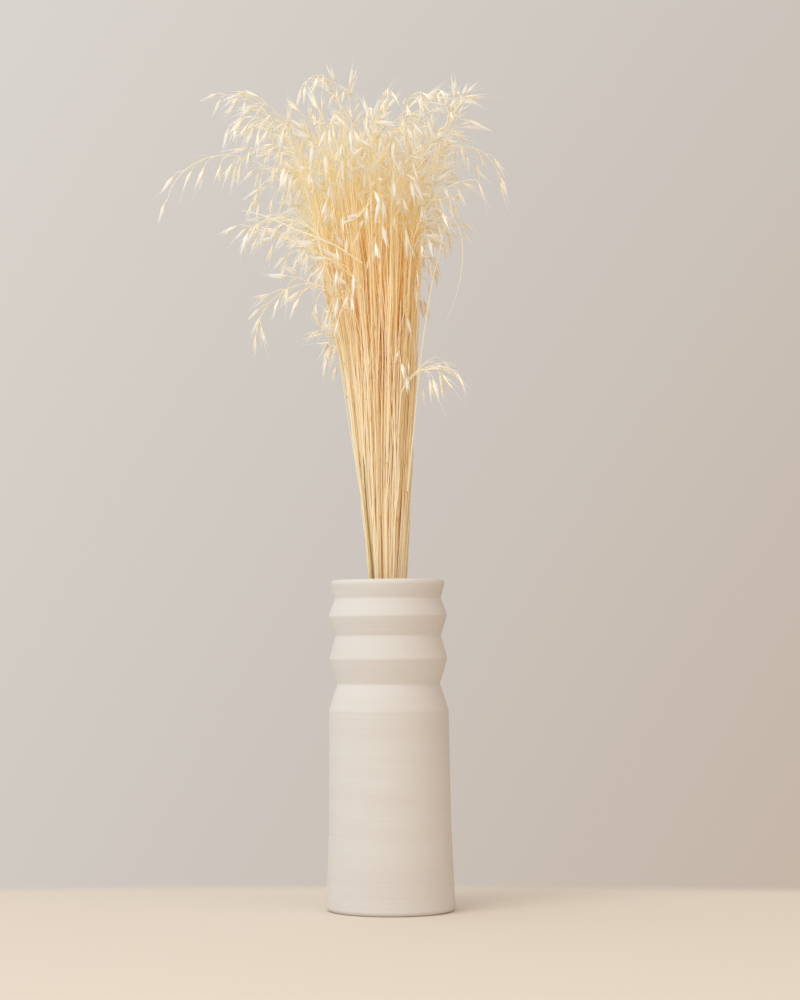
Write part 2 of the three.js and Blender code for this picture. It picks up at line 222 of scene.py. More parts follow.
# Colours as a display shows them, from 0 to 255, with their places on a ramp
WHITE = (255, 255, 255)
STRAW_SHADES = [(253, 248, 226), (254, 250, 239), (254, 252, 247), (254, 253, 251)]
OLIVE_SHADES = [(150, 128, 72), (178, 156, 92), (206, 186, 120), (230, 212, 156)]
SHADE_STOPS = (0.25, 0.45, 0.65, 0.85)
STRAW_STREAKS = [(0.3, (255, 252, 243)), (0.5, WHITE)]
STRAW_KNOTS = [(0.0, WHITE), (0.4, (253, 245, 214)), (1.0, (228, 200, 142))]
# Painted glow for straw: the warm colour painted into the middle of the bunch for light passed on between the
# straws
STRAW_PAINTED_GLOW = (255, 240, 74)
STRAW_GLOW = (255, 251, 226)
HUSK_SHADES = [(0.2, (249, 249, 248)), (0.45, (252, 252, 251)), (0.75, (254, 254, 253))]
HUSK_ROOT = [(0.0, (255, 249, 234)), (0.3, (255, 254, 251)), (0.5, WHITE)]
HUSK_VEINS = [(0.0, (249, 248, 246)), (0.45, WHITE)]
# Painted glow for husks: the warm colour painted into the middle of the bunch for light passed on between the
# straws
HUSK_PAINTED_GLOW = (255, 243, 204)
HUSK_GLOW = (255, 255, 250)
KERNEL_SHADES = [(0.3, (255, 236, 200)), (0.5, (255, 245, 222)), (0.72, (255, 251, 240))]
# Painted glow for kernels: the warm colour painted into the middle of the bunch for light passed on between
# the straws
KERNEL_PAINTED_GLOW = (255, 240, 180)
CERAMIC_SHADES = [(0.3, (208, 202, 197)), (0.5, (210, 205, 200)), (0.7, (212, 208, 203))]
CERAMIC_LINES = [(0.3, (250, 248, 245)), (0.55, WHITE)]
CERAMIC_SPECKS = [(0.3, (245, 241, 237)), (0.45, WHITE)]
FLOOR_COLOUR = (219, 208, 193)
BACKDROP = [
    (0.0, (190, 166, 146)), (0.22, (195, 178, 163)), (0.34, (205, 197, 189)),
    (0.48, (219, 214, 208)), (1.0, (255, 253, 250)),
]

# Stage, in metres and watts
FLOOR_MIDDLE = -0.5  # in front of the vase, so that the floor ends close behind it
FLOOR_REACH = 0.8  # to the front and back
FLOOR_WIDENED = 1.9  # times its reach to the front, to the sides
FLOOR_CLEAR = (0.66, 0.75)  # in front of its middle, where it starts to fade and is gone
FLOOR_SIDES = 96
LIGHTS = {
    "key": dict(place=(-1.35, -1.5, 2.3), target=(0, 0, 0.45), size=1.6, power=27, colour=(0.96, 0.985, 1.0)),
    "front": dict(place=(-0.5, -2.35, 0.75), target=(0, 0, 0.4), size=0.7, power=6, colour=(1.0, 0.99, 0.97)),
    "fill": dict(place=(1.9, -1.3, 0.8), target=(0, 0, 0.4), size=1.6, power=6.5, colour=(1.0, 0.68, 0.42)),
}
LIGHT_BOUNCES = 48  # often passed on between straws
LIGHT_FROM = (-0.85, -0.34, 0.50)  # where the bright side of the studio lies

# Camera, worked out from the photo in pixels of its frame, which is 800 by 1000
FRAME_PIXELS = 1000
FOCAL_PIXELS = 2467
HORIZON_BELOW_MIDDLE = 134.5
TURNED_RIGHT = 2
SENSOR = 36.0
CAMERA_PLACE = (0.0064, -2.257, 0.250)  # metres


# Seeded draws
class Stream:
    def __init__(self, seed):
        self.state = seed & 0xFFFFFFFF

    def next(self):
        self.state = (self.state + 0x6D2B79F5) & 0xFFFFFFFF
        bits = ((self.state ^ (self.state >> 15)) * (self.state | 1)) & 0xFFFFFFFF
        bits ^= (bits + ((bits ^ (bits >> 7)) * (bits | 61) & 0xFFFFFFFF)) & 0xFFFFFFFF
        return ((bits ^ (bits >> 14)) & 0xFFFFFFFF) / 4294967296

    def between(self, low, high):
        return low + (high - low) * self.next()


def mix(a, b, t):
    return a + (b - a) * t


def vector(x, y, z):
    return np.array((x, y, z), float)


def unit(v):
    return v / math.sqrt(v @ v)


def shares(count):
    return np.linspace(0, 1, count)


def turns(count):
    """Angles that share a full turn evenly."""
    return np.arange(count) * FULL_TURN / count


# Stems: every level holds the same sunflower pattern, scaled and turned, so that no two stems cross.
def stem_point(place, level):
    height, middle, radius = LEVELS[level]
    outward = math.sqrt((place + 0.5) / STALKS) * radius
    angle = place * GOLDEN_ANGLE + TWIST * (height - WAIST_HEIGHT)
    return vector(middle + outward * math.cos(angle), outward * math.sin(angle), height)


def stem_at(place, height):
    level = 0
    while level < len(LEVELS) - 2 and height > LEVELS[level + 1][0]:
        level += 1
    low, high = stem_point(place, level), stem_point(place, level + 1)
    return mix(low, high, (height - low[2]) / (high[2] - low[2])), unit(high - low)


# Rachis: the stem's last stretch turns from the stem's direction to its end direction.
def turned(start, end, t):
    angle = math.acos(max(-1.0, min(1.0, start @ end)))
    if angle < NEARLY_STRAIGHT:
        return start
    return (start * math.sin((1 - t) * angle) + end * math.sin(t * angle)) / math.sin(angle)


def rachis_directions(start, azimuth, traits):
    flat = math.sin(traits["end"])
    end = vector(flat * math.cos(azimuth), flat * math.sin(azimuth), math.cos(traits["end"]))
    return [turned(start, end, ((step + 0.5) / STEPS) ** traits["power"]) for step in range(STEPS)]


def rachis_line(place, azimuth, traits):
    base, start = stem_at(place, traits["base"])
    line = [base]
    for direction in rachis_directions(start, azimuth, traits):
        line.append(line[-1] + direction * traits["length"] / STEPS)
    return line


def base_under_top(place, traits):
    """The height where the panicle starts whose highest point is at the height top."""
    base = BASE_GUESS
    for _ in range(2):
        height = rise = 0.0
        for direction in rachis_directions(stem_at(place, base)[1], traits["azimuth"], traits):
            height += direction[2] * traits["length"] / STEPS
            rise = max(rise, height)
        base = traits["top"] - rise
    return base


def draw_traits(place, draw):
    outward = math.sqrt((place + 0.5) / STALKS)
    sideways = math.cos(place * GOLDEN_ANGLE + CROWN_TURN) ** 2
    traits = dict(
        top=mix(744, 724, outward ** 2) - mix(50, 135, sideways) * draw.next() ** 2,
        length=mix(175, 125, outward ** 2) + draw.between(-20, 20),
        end=mix(25, 85, outward ** 1.5) + draw.between(-25, 35),
        power=draw.between(1.6, 3.2),
        spin=draw.between(0, FULL_TURN),
        droop=mix(0.15, 1, outward ** 2) * draw.between(0.3, 1.3),
        reach=1,
    )
    traits.update(WIDE_STALKS.get(place, {}))
    traits["end"] *= DEGREE
    if "azimuth" in traits:
        traits["azimuth"] *= DEGREE
    else:
        traits["azimuth"] = place * GOLDEN_ANGLE + TWIST * CROWN_ABOVE_WAIST
    if "base" not in traits:
        traits["base"] = base_under_top(place, traits)
    return traits


class Room:
    """What is placed so far, as capsules, with the stalk that each belongs to."""

    def __init__(self):
        self.count = 0
        self.start, self.end = np.zeros((MOST_CAPSULES, 3)), np.zeros((MOST_CAPSULES, 3))
        self.radius, self.owner = np.zeros(MOST_CAPSULES), np.zeros(MOST_CAPSULES, int)

    def add(self, start, end, radius, owner):
        k = self.count
        self.start[k], self.end[k], self.radius[k], self.owner[k] = start, end, radius, owner
        self.count += 1

    def clearance(self, start, end, radius, skipped_owner):
        """The smallest gap to the other owners' capsules, between the nearest points of both axes."""
        n = self.count
        along = end - start
        across = self.end[:n] - self.start[:n]
        apart = start - self.start[:n]
        own_square = along @ along
        their_square = np.einsum("ij,ij->i", across, across)
        both = across @ along
        own_apart = apart @ along
        their_apart = np.einsum("ij,ij->i", across, apart)
        spread = own_square * their_square - both * both
        own_place = (both * their_apart - own_apart * their_square) / np.maximum(spread, NEARLY_PARALLEL)
        own_place = np.where(spread > NEARLY_PARALLEL, np.clip(own_place, 0, 1), 0.0)
        their_place = np.clip((both * own_place + their_apart) / their_square, 0, 1)
        own_place = np.clip((both * their_place - own_apart) / own_square, 0, 1)
        between = apart + own_place[:, None] * along - their_place[:, None] * across
        gaps = np.sqrt(np.einsum("ij,ij->i", between, between)) - radius - self.radius[:n]
        return gaps[self.owner[:n] != skipped_owner].min(initial=math.inf)


def rachis_chords(line):
    """The rachis as a few capsules, each with its start, end and radius."""
    points = line[::STEPS_PER_CHORD]
    count = len(points) - 1
    radii = [mix(RACHIS_RADIUS, RACHIS_TIP_RADIUS, k / count) for k in range(count)]
    return list(zip(points, points[1:], radii))


def place_rachis(stalk, room):
    place, traits, draw = stalk["place"], stalk["traits"], stalk["draw"]
    freedom = WIDE_FREEDOM if place in WIDE_STALKS else FREEDOM
    best_gap, best_line = -math.inf, None
    for attempt in range(RACHIS_ATTEMPTS):
        turn = 0 if attempt == 0 else draw.between(-1, 1) * freedom
        line = rachis_line(place, traits["azimuth"] + turn, traits)
        gap = min(room.clearance(*chord, place) for chord in rachis_chords(line))
        if gap > best_gap:
            best_gap, best_line = gap, line
        if best_gap > GAP:
            break
    stalk["line"] = best_line
    for chord in rachis_chords(best_line):
        room.add(*chord, place)


def line_at(line, u):
    """The rachis' point at a share of its length, and its direction there."""
    step = min(int(u * STEPS), STEPS - 1)
    return mix(line[step], line[step + 1], u * STEPS - step), unit(line[step + 1] - line[step])


def slots_on(stalk):
    return INNER_SLOTS if stalk["place"] < INNER_STALKS else SLOTS


def outward_from(along, around):
    """The direction at right angles to along that is turned by the angle around it."""
    side = unit(np.cross(along, vector(0.3, 0.2, 0.93)))
    return side * math.cos(around) + np.cross(side, along) * math.sin(around)


def draw_spikelet(stalk, slot, attempt):
    traits, draw = stalk["traits"], stalk["draw"]
    u = mix(*SLOTS_ALONG, slot / (slots_on(stalk) - 1))
    root, along = line_at(stalk["line"], u)
    around = traits["spin"] + slot * GOLDEN_ANGLE + draw.between(-0.5, 0.5) * (1 + attempt)
    lean = draw.between(8, 32) * DEGREE
    reach = mix(*SLOT_REACH, u) * draw.between(0.7, 1.25) * traits["reach"]
    sag = draw.between(0.4, 1.5) * traits["droop"]
    size = draw.between(*SPIKELET_LENGTH)
    roll = draw.between(0, math.pi)
    return spikelet_from(root, along, outward_from(along, around), lean, reach, sag, size, roll, u)


def spikelet_from(root, along, outward, lean, reach, sag, size, roll, u):
    pedicel = unit(along * math.cos(lean) + outward * math.sin(lean) - vector(0, 0, PEDICEL_SAG * sag))
    pointing = unit(pedicel - vector(0, 0, SPIKELET_SAG * sag))
    neck = root + pedicel * reach
    return dict(root=root, along=along, outward=outward, pointing=pointing, neck=neck,
                tip=neck + pointing * size, size=size, roll=roll, reach=reach, u=u)


def place_if_clear(spikelet, place, room, around_it):
    pedicel_from = mix(spikelet["root"], spikelet["neck"], PEDICEL_FREE_FROM)
    low, high = [mix(spikelet["neck"], spikelet["tip"], share) for share in SPIKELET_CORE]
    if room.clearance(pedicel_from, spikelet["neck"], PEDICEL_RADIUS, place) <= GAP:
        return False
    if room.clearance(low, high, around_it, -1) <= GAP:
        return False
    room.add(pedicel_from, spikelet["neck"], PEDICEL_RADIUS, place)
    room.add(low, high, around_it, place)
    return True


def place_stem(stalk, room):
    place, base = stalk["place"], stalk["traits"]["base"]
    levels = [k for k in range(len(LEVELS)) if LEVELS[k][0] < base - SHORTEST_STRETCH]
    upper = [stem_point(place, k) for k in levels[CROWDED_FROM:]] + [stem_at(place, base)[0]]
    for low, high in zip(upper, upper[1:]):
        room.add(low, high, STEM_RADIUS, place)


def place_spikelets(stalk, room):
    for slot in range(slots_on(stalk)):
        for attempt in range(SPIKELET_ATTEMPTS):
            spikelet = draw_spikelet(stalk, slot, attempt)
            if place_if_clear(spikelet, stalk["place"], room, SPIKELET_ROOM):
                stalk["spikelets"].append(spikelet)
                break


def grow_stalks(room):
    """Stems first, then rachises, the wide ones before the rest, then spikelets."""
    stalks = []
    for place in range(STALKS):
        draw = Stream(SEED * 1000 + place)
        stalks.append(dict(place=place, draw=draw, traits=draw_traits(place, draw), spikelets=[]))
    for stalk in stalks:
        place_stem(stalk, room)
    for stalk in sorted(stalks, key=lambda s: (s["place"] not in WIDE_STALKS, s["place"])):
        place_rachis(stalk, room)
    for stalk in stalks:
        place_spikelets(stalk, room)
    return stalks


# Meshes
class Builder:
    """Gathers grids of points. The grain of a point is across, along in centimetres, and tone."""

    def __init__(self):
        self.grids = []
        self.count = 0

    def add(self, points, closed, grain, marks, look, rounded=True):
        """Adds a grid, given by rows and columns. marks is one number, or one for each row."""
        rows, columns = points.shape[:2]
        faces = grid_faces(rows, columns, closed)
        marks = np.repeat(np.broadcast_to(marks, rows), columns)
        looks, smooth = np.full(len(faces), look), np.full(len(faces), rounded)
        points, grain = points.reshape(-1, 3), grain.reshape(-1, 3)
        self.grids.append((points, faces + self.count, grain, marks, looks, smooth))
        self.count += rows * columns

    def mesh(self, name, materials):
        points, faces, grain, marks, looks, smooth = map(np.concatenate, zip(*self.grids))
        mesh = bpy.data.meshes.new(name)
        mesh.vertices.add(len(points))
        mesh.vertices.foreach_set("co", (points * MILLIMETRE).astype(np.float32).ravel())
        mesh.loops.add(faces.size)
        mesh.loops.foreach_set("vertex_index", faces.astype(np.int32).ravel())
        mesh.polygons.add(len(faces))
        mesh.polygons.foreach_set("loop_start", np.arange(0, faces.size, 4, dtype=np.int32))
        mesh.polygons.foreach_set("material_index", looks.astype(np.int32))
        mesh.polygons.foreach_set("use_smooth", smooth)
        add_attribute(mesh, "grain", "FLOAT_VECTOR", "vector", grain)
        add_attribute(mesh, "mark", "FLOAT", "value", marks)
        # depth: how much painted glow each point gets, for light passed on between the straws
        add_attribute(mesh, "depth", "FLOAT", "value", painted_glow_depth(points))
        for material in materials:
            mesh.materials.append(material)
        mesh.update(calc_edges=True)
        mesh.validate()
        return add_object(name, mesh)


def add_object(name, data):
    thing = bpy.data.objects.new(name, data)
    bpy.context.scene.collection.objects.link(thing)
    return thing


def add_attribute(mesh, name, kind, field, values):
    attribute = mesh.attributes.new(name, kind, "POINT")
    attribute.data.foreach_set(field, values.astype(np.float32).ravel())


def painted_glow_depth(points):
    """1 in the middle of the bunch and 0 at its outside: how much painted glow, for light passed on between
    the straws, a point gets.
    """
    heights, middles, radii = np.array(LEVELS).T
    middle = np.interp(points[:, 2], heights, middles)
    radius = np.interp(points[:, 2], heights, radii)
    outward = np.hypot(points[:, 0] - middle, points[:, 1]) / radius
    below_top = np.clip((PAINTED_GLOW_TOP - points[:, 2]) / PAINTED_GLOW_FADE, 0, 1)
    return np.clip(PAINTED_GLOW_CORE * (1 - outward ** 2), 0, 1) ** PAINTED_GLOW_POWER * below_top


def grid_faces(rows, columns, closed):
    """Quads of a grid whose points run along each row. A closed grid joins its last column to its first."""
    last = columns if closed else columns - 1
    row = np.arange(rows - 1)[:, None] * columns
    low = row + np.arange(last)[None, :]
    low_next = row + (np.arange(last)[None, :] + 1) % columns
    quads = np.stack((low, low_next, low_next + columns, low + columns), axis=-1)
    return quads.reshape(-1, 4)


def grain_grid(across, along, tone):
    """The grain of a grid, from across for each column and along for each row."""
    grain = np.empty((len(along), len(across), 3))
    grain[:, :, 0] = across
    grain[:, :, 1] = along[:, None]
    grain[:, :, 2] = tone
    return grain


def add_tube(builder, points, radii, sides, tone, look=STRAW, marks=0.0, start_along=0.0):
    """A tube round the points. start_along shifts its grain, so that straws are streaked differently."""
    points = np.asarray(points)
    steps = np.diff(points, axis=0)
    lengths = np.linalg.norm(steps, axis=1)
    bends = steps[1:] / lengths[1:, None] + steps[:-1] / lengths[:-1, None]
    tangents = np.vstack((steps[:1], bends, steps[-1:]))
    tangents /= np.linalg.norm(tangents, axis=1)[:, None]
    side = unit(np.cross(tangents[0], vector(0.2, 0.9, 0.1)))
    cosines, sines = np.cos(turns(sides))[:, None], np.sin(turns(sides))[:, None]
    rings = []
    for point, tangent, radius in zip(points, tangents, radii):
        side = unit(side - tangent * (side @ tangent))
        rings.append(point + radius * (cosines * side + sines * np.cross(tangent, side)))
    across = np.abs(np.arange(sides) / sides * 2 - 1)
    along = start_along + np.concatenate(([0], np.cumsum(lengths))) / 10
    builder.add(np.array(rings), True, grain_grid(across, along, tone), marks, look, sides > ROUNDED_OVER)


# Spikelet forms: each part is what Builder.add takes.
def husk_part(side, spread, draw):
    """A boat-shaped husk along +Z, whose tip stands off to its side."""
    out = spread * draw.between(0.7, 1.2)
    belly = draw.between(0.02, 0.045)
    length = 1.0 if side > 0 else draw.between(0.84, 0.97)
    half_width = draw.between(*HUSK_HALF_WIDTH)
    v = shares(HUSK_ROWS) ** 0.9
    rising = np.clip(v / HUSK_FULLEST, 0, 1) ** 0.8
    falling = np.clip((1 - v) / (1 - HUSK_FULLEST), 0, 1) ** 1.15
    shape = mix(HUSK_END, 1, np.minimum(rising, falling))[:, None]
    spine = 0.008 + out * v ** 1.2 + belly * np.sin(math.pi * np.clip(v * 1.05, 0, 1))
    around = np.linspace(-HUSK_WRAP, HUSK_WRAP, HUSK_COLUMNS)
    points = np.empty((HUSK_ROWS, HUSK_COLUMNS, 3))
    points[:, :, 0] = side * (spine[:, None] - HUSK_HOLLOW * shape * (1 - np.cos(around)))
    points[:, :, 1] = half_width * shape * np.sin(around) / math.sin(HUSK_WRAP)
    points[:, :, 2] = length * v[:, None]
    grain = grain_grid(around / HUSK_WRAP, v * HUSK_GRAIN, 0)
    return points, False, grain, v, HUSK, True


def spindle(radii, sides, x, y, z, flatness=1.0):
    """Level rings round the points x, y, z."""
    points = np.empty((len(radii), sides, 3))
    points[:, :, 0] = radii[:, None] * np.cos(turns(sides)) * flatness + x[:, None]
    points[:, :, 1] = radii[:, None] * np.sin(turns(sides)) + y[:, None]
    points[:, :, 2] = z[:, None]
    return points


def kernel_part(length, radius, lean):
    """The floret between the husks, a closed spindle."""
    v, thick = np.array(KERNEL_OUTLINE).T
    z = KERNEL_FROM + v * length
    points = spindle(radius * thick, KERNEL_SIDES, lean * v, 0 * v, z, KERNEL_FLATNESS)
    grain = grain_grid(np.cos(turns(KERNEL_SIDES)), v * KERNEL_GRAIN, 0.3)
    return points, True, grain, v, KERNEL, True


def awn_part(reach, lean, bend, aside):
    """A stiff bristle, which leaves the floret's back and bends a little."""
    v = shares(AWN_POINTS)
    x, y, z = lean * v + bend * v ** 2, aside * v ** 1.5, AWN_FROM + v * reach
    points = spindle(mix(*AWN_RADII, v), AWN_SIDES, x, y, z)
    grain = grain_grid(np.zeros(AWN_SIDES), v * KERNEL_GRAIN, 0.5)
    return points, True, grain, TIP_MARK, HUSK, False


def spikelet_form(draw):
    """One spikelet, one unit long along +Z, parting along X: two husks, one or two florets and awns."""
    spread = mix(0.05, 0.19, draw.next() ** 1.5)
    parts = [husk_part(side, spread, draw) for side in (1, -1)]
    for n in range(1 if draw.next() < 0.5 else 2):
        side = 1 - 2 * n
        tilt = (draw.between(0.0, 0.05) + 0.04 * n) * side
        length = draw.between(0.5, 0.72)
        parts.append(kernel_part(length, draw.between(0.036, 0.048), tilt))
        if draw.next() < 0.75:
            lean, bend = draw.between(-0.05, 0.18) * side, draw.between(-0.1, 0.16) * side
            reach, aside = draw.between(0.7, 1.15), draw.between(-0.12, 0.12)
            parts.append(awn_part(reach, lean, bend, aside))
    return parts


def add_spikelet(builder, spikelet, form, tone, draw):
    pointing, roll = spikelet["pointing"], spikelet["roll"]
    level = unit(np.cross(pointing, vector(0.1, 0.3, 0.95)))
    width = level * math.cos(roll) + np.cross(pointing, level) * math.sin(roll)
    depth = np.cross(pointing, width)
    axes = np.array((width * draw.between(0.85, 1.2), depth * draw.between(0.9, 1.1), pointing))
    axes *= spikelet["size"]
    for points, closed, grain, marks, look, rounded in form:
        placed = spikelet["neck"] + points @ axes
        builder.add(placed, closed, grain + vector(0, 0, tone), marks, look, rounded)


# Fine stalks
def branch_curve(spikelet):
    """The pedicel leaves along the rachis and turns down into its spikelet."""
    root, neck, pointing = spikelet["root"], spikelet["neck"], spikelet["pointing"]
    leaving = unit(spikelet["along"] + 0.5 * spikelet["outward"])
    pull = 0.38 * spikelet["reach"]
    t = shares(BRANCH_POINTS)[:, None]
    out, into = root + leaving * pull, neck - pointing * pull
    return (1 - t) ** 3 * root + 3 * (1 - t) ** 2 * t * out + 3 * (1 - t) * t ** 2 * into + t ** 3 * neck


def side_spikelet(parent, n, stalk, draw):
    """Odd ones leave the rachis near the parent's root, even ones the parent's own branch."""
    traits = stalk["traits"]
    turn = draw.between(0.8, 2.4) * (1 if draw.next() < 0.5 else -1)
    outward, along = parent["outward"], parent["along"]
    outward = outward * math.cos(turn) + np.cross(along, outward) * math.sin(turn)
    if n % 2:
        u = min(0.99, max(0.02, parent["u"] + draw.between(-0.1, 0.05)))
        root, along = line_at(stalk["line"], u)
        reach = mix(*SIDE_REACH, u) * draw.between(0.5, 1.1) * traits["reach"]
    else:
        curve = branch_curve(parent)
        step = 1 + int(draw.between(0, BRANCH_POINTS - 2.01))
        root, along = curve[step], unit(curve[step + 1] - curve[step])
        u = parent["u"]
        reach = max(4.0, parent["reach"] * draw.between(0.3, 0.6))
    outward = unit(outward - along * (outward @ along))
    lean = draw.between(12, 36) * DEGREE
    sag = draw.between(0.3, 1.5) * traits["droop"]
    if draw.next() < mix(0.75, 0.15, u):
        sag = draw.between(1.2, 3.5)
    size = draw.between(*SIDE_LENGTH)
    roll = draw.between(0, math.pi)
    return spikelet_from(root, along, outward, lean, reach, sag, size, roll, u)


def fine_spikelets(stalk, room, draw):
    """The solid's spikelets, and those beside them that find room."""
    found = list(stalk["spikelets"])
    for parent in stalk["spikelets"]:
        for n in range(SIDE_SPIKELETS):
            for _ in range(SIDE_ATTEMPTS):
                spikelet = side_spikelet(parent, n, stalk, draw)
                if place_if_clear(spikelet, stalk["place"], room, SIDE_ROOM):
                    found.append(spikelet)
                    break
    return found


def joint_heights(base, draw):
    joints = [draw.between(low, high) for low, high in LOWER_JOINTS]
    if base > TALL_STEM:
        joints.append(draw.between(UPPER_JOINT_FROM, base - UPPER_JOINT_CLEAR))
    return joints


def joint_rings(sheath, swell):
    """Rings near a joint: height above it, thickness against the bare straw's, and darkness."""
    return [
        (-6, 1.0, 0), (-1.6, swell * 0.93, 0.25), (0, swell, 0.8), (1.2, swell * 0.97, 0.55),
        (4, SHEATHED, 0.05), (sheath, SHEATHED, 0), (sheath + 0.6, 1.0, 0.15), (sheath + 3, 1.0, 0),
    ]


def straw_path(stalk, joints, draw):
    """The stem from its foot to the panicle's tip, with its joints, as points, radii and marks."""
    place, base = stalk["place"], stalk["traits"]["base"]
    heights = {height: (1.0, 0.0) for height in np.arange(LEVELS[0][0] + 1, base - 4, STRAW_STEP)}
    for joint in joints:
        for offset, size, dark in joint_rings(draw.between(30, 85), draw.between(1.05, 1.3)):
            if joint + offset < base - 2:
                heights[joint + offset] = (size, dark)
    phase, sway = draw.between(0, PHASES), draw.between(0.2, 0.8)
    thick = mix(0.65, 1.25, draw.next())
    points, radii, marks = [], [], []
    for height in sorted(heights):
        swell, dark = heights[height]
        point = stem_at(place, height)[0]
        ease = math.sin(math.pi * min(1, max(0, (height - 8) / (base - 8))))
        point[0] += sway * ease * math.sin(height * 0.021 + phase)
        point[1] += sway * ease * math.cos(height * 0.017 + phase)
        points.append(point)
        radii.append(thick * swell * mix(STRAW_RADIUS, STRAW_TOP_RADIUS, height / base))
        marks.append(dark)
    radii[0] *= 0.2
    for step, point in enumerate(stalk["line"]):
        points.append(point)
        radii.append(thick * mix(STRAW_TOP_RADIUS * 0.95, RACHIS_END_RADIUS, (step / STEPS) ** 0.8))
        marks.append(0.0)
    return points, radii, marks


def add_sheath_shred(builder, root, along, tone, draw):
    """The torn end of a leaf sheath, which curls off the stem above a joint."""
    around = draw.between(0, FULL_TURN)
    outward = unit(np.cross(along, vector(math.cos(around), math.sin(around), 0.1)))
    length, curl = draw.between(9, 22), draw.between(0.1, 0.4)
    t = shares(SHRED_POINTS)
    path = root + outward + along * length * t[:, None] + outward * length * curl * t[:, None] ** 2
    half = draw.between(0.3, 0.6) * (1 - 0.85 * t[:, None]) * np.cross(along, outward)
    points = np.stack((path - half, path + half), axis=1)
    builder.add(points, False, grain_grid((-1, 1), t * length / 10, tone), TIP_MARK, HUSK)


def swing(height, pace, phase):
    return vector(math.sin(height * pace + phase), math.cos(height * pace * 0.8 + phase), 0)


def wandering(place, heights, aside, draw):
    """Points at the heights, on a way that starts beside one stem and wanders toward a neighbour."""
    other = place + NEIGHBOURS[int(draw.next() * len(NEIGHBOURS))]
    if not 0 <= other < STALKS:
        other = 2 * place - other
    toward, phase = draw.between(0.2, 1.2), draw.between(0, PHASES)
    wave, pace = draw.between(0.3, 1.5), draw.between(0.03, 0.08)
    points = []
    for k, height in zip(shares(len(heights)), heights):
        here = mix(stem_at(place, height)[0], stem_at(other, height)[0], toward * k)
        points.append(here + aside + wave * min(1, 6 * k) * swing(height, pace, phase))
    return points


def add_loose_fibre(builder, place, base, draw):
    """A thin strand, split off the straw."""
    around, tone = draw.between(0, FULL_TURN), draw.next()
    start = draw.between(FIBRES_FROM, max(400, base - 60))
    length = min(draw.between(60, 240), FIBRES_UP_TO - start)
    t = shares(FIBRE_POINTS)
    path = wandering(place, start + length * t, vector(math.cos(around), math.sin(around), 0), draw)
    radii = mix(draw.between(0.32, 0.72), 0.14, t ** 1.5)
    add_tube(builder, path, radii, FIBRE_SIDES, tone, start_along=30 * tone)


def add_thin_straw(builder, place, beside, base, draw):
    """A slender straw that fills the gap beside its stalk, by its place between two stalks."""
    tone, top = draw.next(), min(FIBRES_UP_TO, base + draw.between(-70, 40))
    phase, wave = draw.between(0, PHASES), draw.between(0.3, 0.9)
    path = []
    for height in np.linspace(30, top, THIN_POINTS):
        path.append(stem_at(place + beside, height)[0] + wave * swing(height, 0.03, phase))
    radii = mix(draw.between(0.5, 0.85), 0.3, shares(THIN_POINTS) ** 1.3)
    add_tube(builder, path, radii, THIN_SIDES, tone, start_along=30 * tone)


def rounded_path(points, count):
    points = np.array(points, float)
    given = np.vstack((2 * points[0] - points[1], points, 2 * points[-1] - points[-2]))
    path = []
    for place in np.linspace(0, len(points) - 1.0001, count):
        t = place - int(place)
        a, b, c, d = given[int(place):int(place) + 4]
        second, third = 2 * a - 5 * b + 4 * c - d, 3 * b - a - 3 * c + d
        path.append(0.5 * (2 * b + (c - a) * t + second * t ** 2 + third * t ** 3))
    return path


def add_stray_strand(builder, radius, look, points, tone):
    count = 5 * len(points)
    radii = mix(radius, STRAY_TIP_RADIUS, shares(count) ** 2)
    add_tube(builder, rounded_path(points, count), radii, STRAY_SIDES, tone, look)


def add_bare_twigs(builder, stalk, tone, draw):
    """Branches that have lost their spikelets."""
    for _ in range(BARE_TWIGS):
        u = draw.between(0.0, 0.8)
        root, along = line_at(stalk["line"], u)
        outward = outward_from(along, draw.between(0, FULL_TURN))
        lean = draw.between(6, 26) * DEGREE
        reach = mix(42, 14, u) * draw.between(0.6, 1.2)
        sag = draw.between(0, 1.2) * stalk["traits"]["droop"]
        curve = branch_curve(spikelet_from(root, along, outward, lean, reach, sag, 1.0, 0.0, u))
        add_tube(builder, curve, mix(*TWIG_RADII, shares(BRANCH_POINTS)), FIBRE_SIDES, tone)


def add_panicle(builder, stalk, room, forms, tone, draw):
    for spikelet in fine_spikelets(stalk, room, draw):
        radii = mix(*BRANCH_RADII, shares(BRANCH_POINTS))
        add_tube(builder, branch_curve(spikelet), radii, BRANCH_SIDES, tone)
        form = forms[int(draw.next() * len(forms))]
        add_spikelet(builder, spikelet, form, mix(tone, draw.next(), 0.6), draw)


def stalk_piece(stalk, room, forms, materials):
    place, base = stalk["place"], stalk["traits"]["base"]
    draw = Stream(FINE_SEED * 1000 + place)
    tone = draw.next()
    builder = Builder()
    joints = joint_heights(base, draw)
    points, radii, marks = straw_path(stalk, joints, draw)
    add_tube(builder, points, radii, STRAW_SIDES, tone, STRAW, marks, start_along=50 * tone)
    for joint in joints[1:]:
        if draw.next() < 0.5:
            add_sheath_shred(builder, *stem_at(place, joint + draw.between(2, 12)), tone, draw)
    fibre_draw = Stream(FIBRE_SEED * 1000 + place)
    for _ in range(LOOSE_FIBRES):
        add_loose_fibre(builder, place, base, fibre_draw)
    for beside in THIN_STRAWS:
        add_thin_straw(builder, place, beside, base, fibre_draw)
    for owner, *strand in STRAY_STRANDS:
        if owner == place:
            add_stray_strand(builder, *strand, tone)
    add_bare_twigs(builder, stalk, tone, draw)
    add_panicle(builder, stalk, room, forms, tone, draw)
    node = f"oat_stalk_{place + 1:02d}"
    piece = builder.mesh(f"fine_{node}", materials)
    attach(piece, "root")
    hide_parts(node)
    return piece


